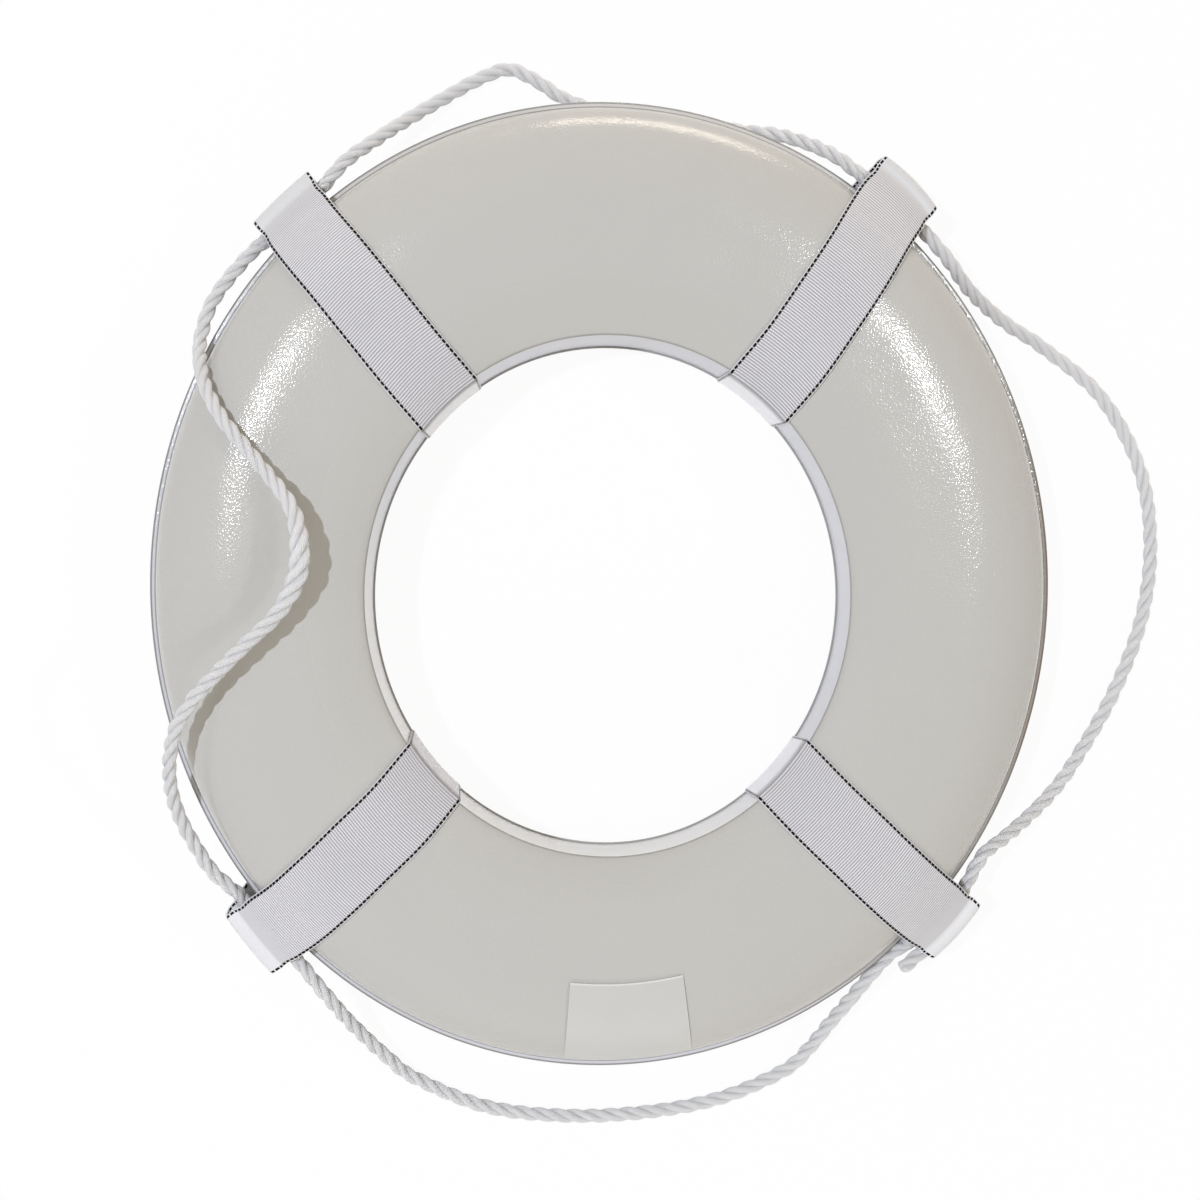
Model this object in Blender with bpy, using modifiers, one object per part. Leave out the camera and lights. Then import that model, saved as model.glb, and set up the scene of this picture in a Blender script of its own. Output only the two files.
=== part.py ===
"""A life ring: a sheet-covered foam ring, four webbing beckets and a grab line.

The ring lies flat with its axis along +Z and its front face up.  Lengths are in
metres.  Outlines are drawn as (radius, height) points on a round ring, with the
height counted from the ring's middle plane.  place() then gives each point its
place on the real ring, which is pressed a little out of round and whose bore
sits a little off its middle.
"""

import math

import bmesh
import bpy
from mathutils import Vector

# Ring body, as a round ring
WELT_R = 0.305
WELT_WIDTH = 0.003
BORE_R = 0.1617
EDGE_H = 0.032
CROWN_H = 0.043
CROWN_FROM_RIM = 0.071
CROWN_FLAT = 0.020
INNER_POWER = 2.2
OUTER_POWER = 2.2

# How the ring is pressed out of round, and how far its bore sits off the middle
ROUND_SHARE_X = 0.961
ROUND_SHARE_Y = 1.031
BORE_SHIFT_X = 0.0038
BORE_SHIFT_Y = -0.0074

# Cover sheets and foam
SHEET = 0.0012
LIP_H = 0.002
GAP = 0.0003
CORE_SHARE = 0.32

# Webbing beckets
WEB_WIDTH = 0.050
WEB_T = 0.0016
WEB_GAP = 0.0006
SEAM_GAP = 0.0003
CREASE_OUT = 0.0130
STRAY_DEPTH = 0.012
LAP_START_IN = 0.019
LAP_END_IN = 0.043

# Thread that sews each lap
THREAD_DIA = 0.0008
SEWN_WIDTH = 0.040
SEWN_INSET = 0.0035
SEWN_ROWS = 4
SEWN_STEPS = 4

# Grab line
ROPE_DIA = 0.0096
ROPE_GAP = 0.0003
ROPE_OUT = 0.0095
ROPE_SPACING = 0.025
MOUTH_CLEAR = 0.0025
FLOOR_GAP = 0.0004
LAY_GAP = 0.0007

# Two rope ends lie side by side in the bottom right loop
INNER_ROPE_GAP = 0.0004
BETWEEN_ROPES = 0.0009
NOSE_SLACK = 0.0001
CROSSED_AT = 0.003
HALF_CROSSED_OUT = 0.0028
TAIL_END = 0.005
STUB_OUT = 0.019
STUB_IN = 0.0004
STUB_RISE = 0.002

# Blank label patch on the front face
PATCH_FROM_RIM = 0.0065
PATCH_LENGTH = 0.0571
PATCH_HALF_IN = 0.0372
PATCH_HALF_OUT = 0.0430
PATCH_MIDDLE = 273.4
PATCH_T = 0.0005

# Faces round the ring, along the dome and across the webbing, and steps of the rope
SEGMENTS = 48
INNER_STEPS = 3
OUTER_STEPS = 7
WEB_COLUMNS = 4
PATCH_COLUMNS = 6
NOSE_STEPS = 6
ROUTE_STEPS = 12
BALL_DEGREES = (30, 60, 80)
SMOOTH_DEGREES = 35

# Each becket: where it sits round the ring, and how far its back run strays sideways
BECKETS = {
    "top_left": (131.6, 0.0),
    "top_right": (50.4, 0.005),
    "bottom_left": (223.6, -0.005),
    "bottom_right": (317.7, -0.004),
}

# How far each loop reaches out past its usual place: at its corners, how much more on its
# one side and less on the other, and how much more in its middle
LOOPS = {
    "top_left": (0.0010, 0.0, 0.0),
    "top_right": (0.0057, 0.0015, 0.0014),
    "bottom_left": (0.0047, 0.0012, 0.0),
    "bottom_right": (0.0030, 0.0007, 0.0010),
}

# How far each becket sways sideways over the front face, at even steps from bore to loop
SWAYS = {
    "top_left": (0.0003, 0.0014, 0.0014, 0.0014, 0.0018, 0),
    "top_right": (0.0013, -0.0018, -0.0020, -0.0014, 0.0003, 0),
    "bottom_left": (-0.0004, 0.0041, 0.0053, 0.0062, 0.0056, 0),
    "bottom_right": (-0.0011, -0.0029, -0.0035, -0.0039, -0.0031, 0),
}

# Radii and heights that follow from these
SHELL_R = WELT_R - WELT_WIDTH
CROWN_OUT = WELT_R - CROWN_FROM_RIM
CROWN_IN = CROWN_OUT - CROWN_FLAT
WELT_H = GAP / 2 + SHEET
CORE_SPLIT = CORE_SHARE * CROWN_H
CREASE_R = WELT_R + CREASE_OUT
LAP_START_R = WELT_R - LAP_START_IN
LAP_END_R = WELT_R - LAP_END_IN
PATCH_OUT_R = WELT_R - PATCH_FROM_RIM
PATCH_IN_R = PATCH_OUT_R - PATCH_LENGTH
ROPE_RAD = ROPE_DIA / 2
ROPE_R = WELT_R + ROPE_OUT
INNER_ROPE_R = WELT_R + INNER_ROPE_GAP + ROPE_RAD
OUTER_ROPE_R = INNER_ROPE_R + ROPE_DIA + BETWEEN_ROPES
NOSE_RAD = ROPE_RAD + ROPE_GAP
NOSE_R = OUTER_ROPE_R + NOSE_SLACK
LOOP_END_R = NOSE_R + NOSE_RAD + WEB_T
LAP_LIFT = WEB_GAP + WEB_T + SEAM_GAP
FLOOR_DROP = CROWN_H + WEB_GAP + WEB_T
ROPE_DROP = FLOOR_DROP - FLOOR_GAP - ROPE_RAD
ROPE_RISE = CROWN_H + LAY_GAP + ROPE_RAD

# The grab line's free stretches, by hand-chosen points between the loops' mouths:
# azimuth in degrees, distance out of the rim, and the share of the way from the
# middle plane down to the floor, or up over the front face where it is positive.
# Above 1 the line stands clear of the face, as its shadow shows
TOP_ROUTE = [
    (122.8, 0.0145, -0.07), (118.3, 0.0180, -0.32), (114.2, 0.0230, -0.65),
    (108.9, 0.0295, -0.92), (104.6, 0.0350, -1), (100.8, 0.0370, -1),
    (97.7, 0.0265, -1), (94.8, 0.0140, -1), (90.8, 0.0050, -1), (85.7, 0, -1),
    (80.6, 0, -1), (75.8, 0.0045, -1), (71.4, 0.0075, -0.95),
    (67.5, 0.0115, -0.75), (63.5, 0.0125, -0.43), (59.4, 0.0115, -0.10),
]
RIGHT_ROUTE = [
    (41.1, 0.0100, -0.07), (37.3, 0.0115, -0.32), (33.8, 0.0185, -0.65),
    (30.3, 0.0290, -0.90), (26.5, 0.0435, -1), (19.4, 0.0685, -1),
    (11.5, 0.0830, -1), (4.1, 0.0845, -1), (-3.3, 0.0780, -1),
    (-11.1, 0.0645, -1), (-19.3, 0.0490, -0.97), (-23.6, 0.0395, -0.85),
    (-27.5, 0.0275, -0.57), (-30.6, 0.0170, -0.27), (-33.4, 0.0090, -0.07),
]
BOTTOM_ROUTE = [
    (309.9, 0.0030, -0.15), (306.4, 0.0070, -0.27), (302.8, 0.0140, -0.45),
    (299.5, 0.0220, -0.70), (295.9, 0.0320, -0.90), (292.0, 0.0395, -1),
    (283.9, 0.0425, -1), (275.0, 0.0425, -1), (265.7, 0.0440, -1),
    (256.6, 0.0460, -1), (248.0, 0.0425, -0.97), (244.4, 0.0370, -0.85),
    (240.9, 0.0300, -0.62), (237.8, 0.0235, -0.35), (235.0, 0.0175, -0.12),
    (232.3, 0.0135, -0.03),
]
LEFT_ROUTE = [
    (214.7, 0.0150, 0.02), (211.3, 0.0150, 0.12), (207.9, 0.0135, 0.30),
    (204.6, 0.0090, 0.56), (201.3, 0.0005, 0.86), (197.7, -0.0120, 1.10),
    (195.3, -0.0245, 1.20), (192.8, -0.0400, 1.27), (187.6, -0.0720, 1.34),
    (184.8, -0.0870, 1.33), (181.2, -0.0990, 1.33), (176.8, -0.1070, 1.35),
    (172.4, -0.1070, 1.35), (168.9, -0.1025, 1.31), (166.2, -0.0960, 1.27),
    (164.0, -0.0855, 1.20), (162.3, -0.0740, 1.09), (159.1, -0.0480, 0.99),
    (157.7, -0.0350, 0.92), (156.1, -0.0230, 0.81), (154.8, -0.0145, 0.71),
    (153.3, -0.0065, 0.55), (151.7, 0.0005, 0.34), (150.0, 0.0060, 0.19),
    (146.7, 0.0120, 0.06), (143.3, 0.0130, 0.01), (138.8, 0.0115, 0),
]


def clear_scene():
    for item in list(bpy.data.objects):
        bpy.data.objects.remove(item, do_unlink=True)


def new_material(name, colour, roughness):
    """A plain Principled finish for one sub-part."""
    material = bpy.data.materials.new(name)
    material.use_nodes = True
    shader = material.node_tree.nodes["Principled BSDF"]
    shader.inputs["Base Color"].default_value = (*colour, 1)
    shader.inputs["Roughness"].default_value = roughness
    shader.inputs["Metallic"].default_value = 0
    return material


def add_part(name, data, material, parent):
    """Put a mesh or curve in the life ring's collection as a named sub-part."""
    part = bpy.data.objects.new(name, data)
    parts.objects.link(part)
    part.parent = parent
    data.materials.append(material)
    return part


def add_empty(name, location, parent):
    empty = bpy.data.objects.new(name, None)
    parts.objects.link(empty)
    empty.location = location
    empty.parent = parent
    return empty


def shade(mesh):
    mesh.shade_smooth()
    mesh.set_sharp_from_angle(angle=math.radians(SMOOTH_DEGREES))


def place(radius, azimuth, height):
    """A point of the round ring, moved to its place on the real ring."""
    inward = (WELT_R - radius) / (WELT_R - BORE_R)
    inward = min(max(inward, 0), 1)
    x = ROUND_SHARE_X * radius * math.cos(azimuth) + inward * BORE_SHIFT_X
    y = ROUND_SHARE_Y * radius * math.sin(azimuth) + inward * BORE_SHIFT_Y
    return Vector((x, y, height))


def beside(radius, azimuth_degrees, sideways, height):
    """A point at a radius, a straight distance sideways of a line through the axis."""
    azimuth = math.radians(azimuth_degrees) + math.asin(sideways / radius)
    return place(radius, azimuth, height)


def dome_outline():
    """The front face's outline, from the bore's edge over the crown to the rim."""
    points = []
    for step in range(INNER_STEPS + 1):
        run = 1 - step / INNER_STEPS
        radius = CROWN_IN - (CROWN_IN - BORE_R) * run
        height = CROWN_H - (CROWN_H - EDGE_H) * run ** INNER_POWER
        points.append(Vector((radius, height)))
    for step in range(OUTER_STEPS + 1):
        turn = math.pi / 2 * step / OUTER_STEPS
        run = math.sin(turn) ** (2 / OUTER_POWER)
        rise = max(math.cos(turn), 0) ** (2 / OUTER_POWER)
        radius = CROWN_OUT + (SHELL_R - CROWN_OUT) * run
        height = WELT_H + (CROWN_H - WELT_H) * rise
        points.append(Vector((radius, height)))
    return points


def mirrored(points):
    """The same outline on the back face, run the other way."""
    return [Vector((point.x, -point.y)) for point in reversed(points)]


def edge_normal(first, second):
    """The outward normal of an outline's edge, on the left of its run."""
    run = (second - first).normalized()
    return Vector((-run.y, run.x))


def offset(points, distance, closed=False):
    """Move an outline outwards by a distance, keeping its edges parallel."""
    moved = []
    count = len(points)
    for index, point in enumerate(points):
        normals = []
        if closed or index > 0:
            normals.append(edge_normal(points[index - 1], point))
        if closed or index < count - 1:
            normals.append(edge_normal(point, points[(index + 1) % count]))
        middle = sum(normals, Vector((0, 0))).normalized()
        moved.append(point + middle * distance / middle.dot(normals[0]))
    return moved


def cut_between(points, low, high):
    """The stretch of an outline whose radius lies between two limits."""
    kept = []
    for first, second in zip(points, points[1:]):
        ends = []
        for limit in (low, high):
            if (first.x - limit) * (second.x - limit) < 0:
                ends.append(first.lerp(second, (limit - first.x) / (second.x - first.x)))
        ends.sort(key=lambda end: (end - first).length)
        if low <= first.x <= high:
            kept.append(first)
        kept.extend(ends)
    if low <= points[-1].x <= high:
        kept.append(points[-1])
    return kept


def layer(points, low, high):
    """The part of a closed outline that lies between two heights."""
    for limit, side in ((low, 1), (high, -1)):
        kept = []
        for index, point in enumerate(points):
            before = points[index - 1]
            inside = (point.y - limit) * side
            was_inside = (before.y - limit) * side
            if inside * was_inside < 0:
                kept.append(before.lerp(point, (limit - before.y) / (point.y - before.y)))
            if inside >= 0:
                kept.append(point)
        points = kept
    return points


def turned(name, outline, closed=False):
    """Turn an outline once round the axis and fit the result to the real ring."""
    count = len(outline)
    edges = [(index, index + 1) for index in range(count - 1)]
    if closed:
        edges.append((count - 1, 0))
    profile = bpy.data.meshes.new(name + "_outline")
    profile.from_pydata([(point.x, 0, point.y) for point in outline], edges, [])
    guide = bpy.data.objects.new(name + "_outline", profile)
    bpy.context.scene.collection.objects.link(guide)
    screw = guide.modifiers.new("turn", "SCREW")
    screw.steps = SEGMENTS
    screw.render_steps = SEGMENTS
    screw.use_merge_vertices = True
    screw.merge_threshold = 0.00001
    evaluated = guide.evaluated_get(bpy.context.evaluated_depsgraph_get())
    mesh = bpy.data.meshes.new_from_object(evaluated)
    mesh.name = name
    bpy.data.objects.remove(guide, do_unlink=True)
    bpy.data.meshes.remove(profile)
    for vertex in mesh.vertices:
        radius = math.hypot(vertex.co.x, vertex.co.y)
        vertex.co = place(radius, math.atan2(vertex.co.y, vertex.co.x), vertex.co.z)
    shade(mesh)
    return mesh


def thicken(part, thickness, side):
    """Give an open sheet its thickness, inwards with side -1 or outwards with side 1."""
    solidify = part.modifiers.new("thickness", "SOLIDIFY")
    solidify.thickness = thickness
    solidify.offset = side
    solidify.use_even_offset = True


def wrapped_strip(name, path, columns, half_width):
    """A flat strip of sheet, wrapped along a path of (radius, height) points.

    half_width gives the strip's sideways place for a station and a side from -1 to 1.
    """
    stations = len(path) - 1
    strip = bmesh.new()
    bmesh.ops.create_grid(strip, x_segments=stations, y_segments=columns, size=0.5)
    for vertex in strip.verts:
        station = round((vertex.co.x + 0.5) * stations)
        vertex.co = half_width(path[station], 2 * vertex.co.y)
    mesh = bpy.data.meshes.new(name)
    strip.to_mesh(mesh)
    strip.free()
    shade(mesh)
    return mesh


def add_foam(frame):
    """Three layers of closed-cell foam, glued face to face inside the covers."""
    outline = mirrored(DOME) + DOME
    foam = offset(outline, -SHEET - GAP, closed=True)
    half_gap = GAP / 2
    layers = {
        "foam_core_front": (CORE_SPLIT + half_gap, CROWN_H),
        "foam_core_middle": (half_gap - CORE_SPLIT, CORE_SPLIT - half_gap),
        "foam_core_back": (-CROWN_H, -CORE_SPLIT - half_gap),
    }
    for name, (low, high) in layers.items():
        mesh = turned(name, layer(foam, low, high), closed=True)
        add_part(name, mesh, new_material(name, (0.83, 0.81, 0.74), 0.9), frame)


def add_covers(frame):
    """Grained sheet over each face, welded at the rim, and a smooth band in the bore."""
    lip = Vector((BORE_R, EDGE_H - LIP_H))
    welt = Vector((WELT_R, WELT_H))
    front = [lip] + DOME + [welt]
    band_h = EDGE_H - LIP_H - GAP
    band = [Vector((BORE_R, -band_h)), Vector((BORE_R, band_h))]
    colour = (0.58, 0.57, 0.55)
    sheets = {
        "vinyl_cover_front": (front, colour, 0.38),
        "vinyl_cover_back": (mirrored(front), colour, 0.38),
        "vinyl_bore_band": (band, (0.64, 0.66, 0.70), 0.3),
    }
    for name, (outline, tint, roughness) in sheets.items():
        part = add_part(name, turned(name, outline), new_material(name, tint, roughness), frame)
        thicken(part, SHEET, -1)


def leaving_radius(outline, crease):
    """Where a tight band leaves the face on its way to a crease beyond the rim."""
    side = math.copysign(1, crease.y)
    last = max(outline, key=lambda point: side * (point.y - crease.y) / (crease.x - point.x))
    return last.x


def becket_path():
    """The webbing's inner face, from its hidden end round the ring to its sewn end."""
    crease = Vector((CREASE_R, NOSE_RAD))
    back_crease = Vector((CREASE_R, -NOSE_RAD))
    clear = offset(mirrored(DOME) + DOME, WEB_GAP)
    half = len(clear) // 2
    back = cut_between(clear[:half], 0, LAP_START_R)
    front = cut_between(clear[half:], 0, leaving_radius(clear[half:], crease))
    nose = []
    for step in range(NOSE_STEPS + 1):
        turn = math.pi / 2 - math.pi * step / NOSE_STEPS
        nose.append(Vector((NOSE_R + NOSE_RAD * math.cos(turn), NOSE_RAD * math.sin(turn))))
    over = offset(mirrored(DOME), LAP_LIFT)
    lap = cut_between(over, LAP_END_R, leaving_radius(over, back_crease))
    return back + front + [crease] + nose + [back_crease] + lap


def curve_at(before, first, second, after, t):
    """A smooth curve's value a part t of the way from its first value to its second."""
    return 0.5 * (
        2 * first
        + (second - before) * t
        + (2 * before - 5 * first + 4 * second - after) * t ** 2
        + (3 * first - before - 3 * second + after) * t ** 3
    )


def even_steps(values, share):
    """A smooth value between evenly spaced ones, at a share of the way along them."""
    place_along = min(max(share, 0), 1) * (len(values) - 1)
    index = min(int(place_along), len(values) - 2)
    first, second = values[index], values[index + 1]
    before = values[index - 1] if index else 2 * first - second
    after = values[index + 2] if index + 2 < len(values) else 2 * second - first
    return curve_at(before, first, second, after, place_along - index)


def drift(name, point):
    """How far a becket lies sideways of its own line, at a point of its section."""
    sway = even_steps(SWAYS[name], (point.x - BORE_R) / (LOOP_END_R - BORE_R))
    if point.x < CROWN_IN:
        front = min(max(0.5 + point.y / (2 * EDGE_H), 0), 1)
        back = 1 - front
    else:
        front = 1 if point.y >= 0 else 0
        back = min(max(-point.y / STRAY_DEPTH, 0), 1)
    return front * sway + back * BECKETS[name][1]


def add_becket(name, path, frame):
    """One band of webbing round the ring's section and the grab line."""
    azimuth = BECKETS[name][0]
    reach, skew, bulge = LOOPS[name]

    def wrap(point, side):
        further = reach + skew * side + bulge * (1 - side ** 2) if point.x > WELT_R else 0
        sideways = side * WEB_WIDTH / 2 + drift(name, point)
        return beside(point.x + further, azimuth, sideways, point.y)

    node = "becket_" + name
    mesh = wrapped_strip(node, path, WEB_COLUMNS, wrap)
    part = add_part(node, mesh, new_material(node, (0.72, 0.73, 0.76), 0.7), frame)
    thicken(part, WEB_T, 1)


def lap_point(radius, lift):
    """A point over the back face, lifted square off it."""
    face = mirrored(DOME)
    for first, second in zip(face, face[1:]):
        if second.x <= radius <= first.x:
            on_face = first.lerp(second, (first.x - radius) / (first.x - second.x))
            return on_face + edge_normal(first, second) * lift
    raise ValueError("the radius is off the face")


def sewn_rows():
    """The thread's run over the lap: rows from side to side, turned at their ends."""
    low = LAP_END_R + SEWN_INSET
    high = LAP_START_R - SEWN_INSET
    spots = []
    for row in range(SEWN_ROWS):
        radius = low + (high - low) * row / (SEWN_ROWS - 1)
        way = 1 if row % 2 else -1
        for step in range(SEWN_STEPS + 1):
            share = 2 * step / SEWN_STEPS - 1
            spots.append((radius, way * share * SEWN_WIDTH / 2))
    return spots


def add_stitching(name, frame):
    """The one thread that sews a becket's lap, in rows across its width."""
    points = []
    for radius, across in sewn_rows():
        point = lap_point(radius, LAP_LIFT + WEB_T + SEAM_GAP + THREAD_DIA / 2)
        points.append(beside(point.x, BECKETS[name][0], across + drift(name, point), point.y))
    add_tube("stitching_" + name, points, [1] * len(points), THREAD_DIA, 1, (0.8, 0.8, 0.82), frame)


def add_patch(frame):
    """A thin blank patch, where such a ring carries its label."""
    def wrap(point, side):
        reach = (point.x - PATCH_IN_R) / (PATCH_OUT_R - PATCH_IN_R)
        half = PATCH_HALF_IN + (PATCH_HALF_OUT - PATCH_HALF_IN) * reach
        return beside(point.x, PATCH_MIDDLE, side * half, point.y)

    path = cut_between(offset(DOME, GAP), PATCH_IN_R, PATCH_OUT_R)
    mesh = wrapped_strip("label_patch", path, PATCH_COLUMNS, wrap)
    material = new_material("label_patch", (0.6, 0.59, 0.57), 0.35)
    part = add_part("label_patch", mesh, material, frame)
    thicken(part, PATCH_T, 1)


def smooth_route(points):
    """Evenly spaced points on a smooth curve through a route's own points."""
    ends = [2 * points[0] - points[1]] + points + [2 * points[-1] - points[-2]]
    fine = []
    for before, first, second, after in zip(ends, ends[1:], ends[2:], ends[3:]):
        for step in range(ROUTE_STEPS):
            fine.append(curve_at(before, first, second, after, step / ROUTE_STEPS))
    fine.append(points[-1])
    total = sum((second - first).length for first, second in zip(fine, fine[1:]))
    pieces = max(round(total / ROPE_SPACING), 2)
    even = [fine[0]]
    walked = 0
    for first, second in zip(fine, fine[1:]):
        run = (second - first).length
        while len(even) < pieces and walked + run >= total * len(even) / pieces:
            even.append(first.lerp(second, (total * len(even) / pieces - walked) / run))
        walked += run
    even.append(fine[-1])
    return even, total


def add_tube(name, points, radii, diameter, resolution, colour, parent):
    """A plain round tube along a line of points, with a radius factor at each."""
    curve = bpy.data.curves.new(name, "CURVE")
    curve.dimensions = "3D"
    curve.bevel_depth = diameter / 2
    curve.bevel_resolution = resolution
    curve.use_fill_caps = True
    spline = curve.splines.new("POLY")
    spline.points.add(len(points) - 1)
    for target, point, radius in zip(spline.points, points, radii):
        target.co = (*point, 1)
        target.radius = radius
    add_part(name, curve, new_material(name, colour, 0.65), parent)


def add_rope(name, points, radii, parent):
    """The rope's round envelope, without its lay."""
    add_tube(name, points, radii, ROPE_DIA, 2, (0.78, 0.78, 0.78), parent)


def mouth(becket, side, radius=ROPE_R):
    """The middle of the grab line where it leaves a loop, on one side of the webbing."""
    sideways = side * (WEB_WIDTH / 2 + MOUTH_CLEAR)
    return beside(radius, BECKETS[becket][0], sideways, 0)


def on_route(azimuth_degrees, out, share):
    """A point of a free stretch, from its azimuth, distance out and share of the way."""
    way = ROPE_RISE if share > 0 else ROPE_DROP
    return place(WELT_R + out, math.radians(azimuth_degrees), share * way)


def add_stretch(name, start, route, end, frame):
    """A free stretch of grab line with ball ends, so that it can swing in its loops.

    Its parent empty sits on the line through its two mouths, which it swings about.
    """
    points, total = smooth_route([start] + [on_route(*point) for point in route] + [end])
    pivot = add_empty(name + "_swing", start, frame)
    first = (points[0] - points[1]).normalized()
    last = (points[-1] - points[-2]).normalized()
    radii = [1] * len(points)
    for turn in BALL_TURNS:
        points.insert(0, start + first * ROPE_RAD * math.sin(turn))
        points.append(end + last * ROPE_RAD * math.sin(turn))
        radii.insert(0, math.cos(turn))
        radii.append(math.cos(turn))
    add_rope(name, [point - start for point in points], radii, pivot)
    print(f"{name}: {total:.3f} m of rope")


def add_held_rope(name, becket, line, frame):
    """Rope inside a loop, by its sideways places, radii and heights, with flat ends."""
    azimuth = BECKETS[becket][0]
    points = [beside(radius, azimuth, sideways, height) for sideways, radius, height in line]
    add_rope(name, points, [1] * len(points), frame)


def add_grab_line(frame):
    """Four free stretches, and the rope that the loops hold between them."""
    low_end = mouth("bottom_right", -1, INNER_ROPE_R)
    add_stretch("grab_line_top", mouth("top_left", -1), TOP_ROUTE, mouth("top_right", 1), frame)
    add_stretch("grab_line_right", mouth("top_right", -1), RIGHT_ROUTE, mouth("bottom_right", 1), frame)
    add_stretch("grab_line_bottom", low_end, BOTTOM_ROUTE, mouth("bottom_left", 1), frame)
    add_stretch("grab_line_left", mouth("bottom_left", -1), LEFT_ROUTE, mouth("top_left", 1), frame)

    reach = WEB_WIDTH / 2 + MOUTH_CLEAR - ROPE_RAD * math.sin(BALL_TURNS[-1]) - ROPE_GAP
    straight = [(sideways, ROPE_R, 0) for sideways in (-reach, -reach / 2, reach / 2, reach)]
    for becket in ("top_left", "top_right", "bottom_left"):
        add_held_rope("held_rope_" + becket, becket, straight, frame)
    edge = -WEB_WIDTH / 2
    through = [
        (reach, ROPE_R, 0),
        (reach / 2, ROPE_R + HALF_CROSSED_OUT, 0),
        (CROSSED_AT, OUTER_ROPE_R, 0),
        (edge, OUTER_ROPE_R, 0),
        (edge - STUB_OUT, OUTER_ROPE_R - STUB_IN, STUB_RISE),
    ]
    add_held_rope("held_rope_bottom_right", "bottom_right", through, frame)
    tail = [(sideways, INNER_ROPE_R, 0) for sideways in (-reach, -reach / 2, -TAIL_END)]
    add_held_rope("held_rope_tail", "bottom_right", tail, frame)


clear_scene()
parts = bpy.data.collections.new("life_ring")
bpy.context.scene.collection.children.link(parts)

DOME = dome_outline()
BALL_TURNS = [math.radians(degrees) for degrees in BALL_DEGREES]

ring_frame = add_empty("ring_middle", (0, 0, FLOOR_DROP), None)
add_foam(ring_frame)
add_covers(ring_frame)
add_patch(ring_frame)
webbing_path = becket_path()
for becket in BECKETS:
    add_becket(becket, webbing_path, ring_frame)
    add_stitching(becket, ring_frame)
add_grab_line(ring_frame)
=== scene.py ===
# %% [markdown]
# This lesson dresses the plain solids of a life ring: a foam ring under grained vinyl sheet,
# four bands of webbing round it, and a twisted grab line that the bands hold by its rim.
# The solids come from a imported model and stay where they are. Each one is either given a
# material, or replaced by a finer piece made here in the same place.

from math import asin, atan2, copysign, cos, exp, hypot, pi, radians, sin, sqrt, tau

import bpy
from mathutils import Matrix, Vector, noise


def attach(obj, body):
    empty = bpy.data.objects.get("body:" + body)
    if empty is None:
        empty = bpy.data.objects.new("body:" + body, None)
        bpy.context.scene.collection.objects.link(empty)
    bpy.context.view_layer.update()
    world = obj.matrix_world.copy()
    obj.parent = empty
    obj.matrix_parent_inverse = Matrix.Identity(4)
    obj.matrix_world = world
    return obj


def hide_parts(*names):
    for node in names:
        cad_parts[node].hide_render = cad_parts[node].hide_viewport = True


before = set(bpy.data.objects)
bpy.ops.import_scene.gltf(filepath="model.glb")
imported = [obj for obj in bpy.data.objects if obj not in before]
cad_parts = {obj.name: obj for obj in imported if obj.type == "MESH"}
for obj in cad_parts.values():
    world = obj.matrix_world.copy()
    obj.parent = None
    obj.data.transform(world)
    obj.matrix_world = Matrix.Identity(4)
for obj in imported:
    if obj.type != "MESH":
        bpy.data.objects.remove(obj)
scene = bpy.context.scene
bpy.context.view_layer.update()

# %% [markdown]
# The ring lies flat on the floor, front face up. It was pressed a little out of round, and
# its bore sits off its middle. The easy way is to draw everything on a round ring first,
# by radius, azimuth and height, and let one function give each point its real place.
# So the cover, the webbing and the rope all bend with the ring in the same way.

# %% Sizes of the ring, in metres
WELT_R = 0.305
WELT_WIDTH = 0.0039
BORE_R = 0.1617
EDGE_H = 0.032
CROWN_H = 0.043
CROWN_OUT = WELT_R - 0.071
CROWN_IN = CROWN_OUT - 0.02
DOME_POWER = 2.2
SHEET = 0.0012
GAP = 0.0003
LIP_H = 0.002
WEB_WIDTH = 0.05
WEB_T = 0.0016
WEB_GAP = 0.0006
SEAM_GAP = 0.0003
ROPE_DIA = 0.0096
ROPE_R = WELT_R + 0.0095
SHELL_R = WELT_R - WELT_WIDTH
WELT_H = GAP / 2 + SHEET
ROPE_RAD = ROPE_DIA / 2
MIDDLE_Z = CROWN_H + WEB_GAP + WEB_T
ROUND_X = 0.961
ROUND_Y = 1.031
BORE_SHIFT = Vector((0.0038, -0.0074))

# Each band of webbing: its azimuth on the ring, and how far its back run strays sideways
BECKETS = {
    "top_left": (131.6, 0.0),
    "top_right": (50.4, 0.005),
    "bottom_left": (223.6, -0.005),
    "bottom_right": (317.7, -0.004),
}
print("the ring's middle plane is", round(MIDDLE_Z, 4), "m above the floor")


# %% Places on the ring
def held(value):
    """A number held between 0 and 1."""
    return min(max(value, 0), 1)


def on_ring(radius, azimuth, height):
    """A point drawn on the round ring, at its place on the real one."""
    inward = held((WELT_R - radius) / (WELT_R - BORE_R))
    x = ROUND_X * radius * cos(azimuth) + inward * BORE_SHIFT.x
    y = ROUND_Y * radius * sin(azimuth) + inward * BORE_SHIFT.y
    return Vector((x, y, MIDDLE_Z + height))


def beside(radius, degrees, sideways, height):
    """A point a straight distance sideways of a line that runs out from the axis."""
    return on_ring(radius, radians(degrees) + asin(sideways / radius), height)


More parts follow.
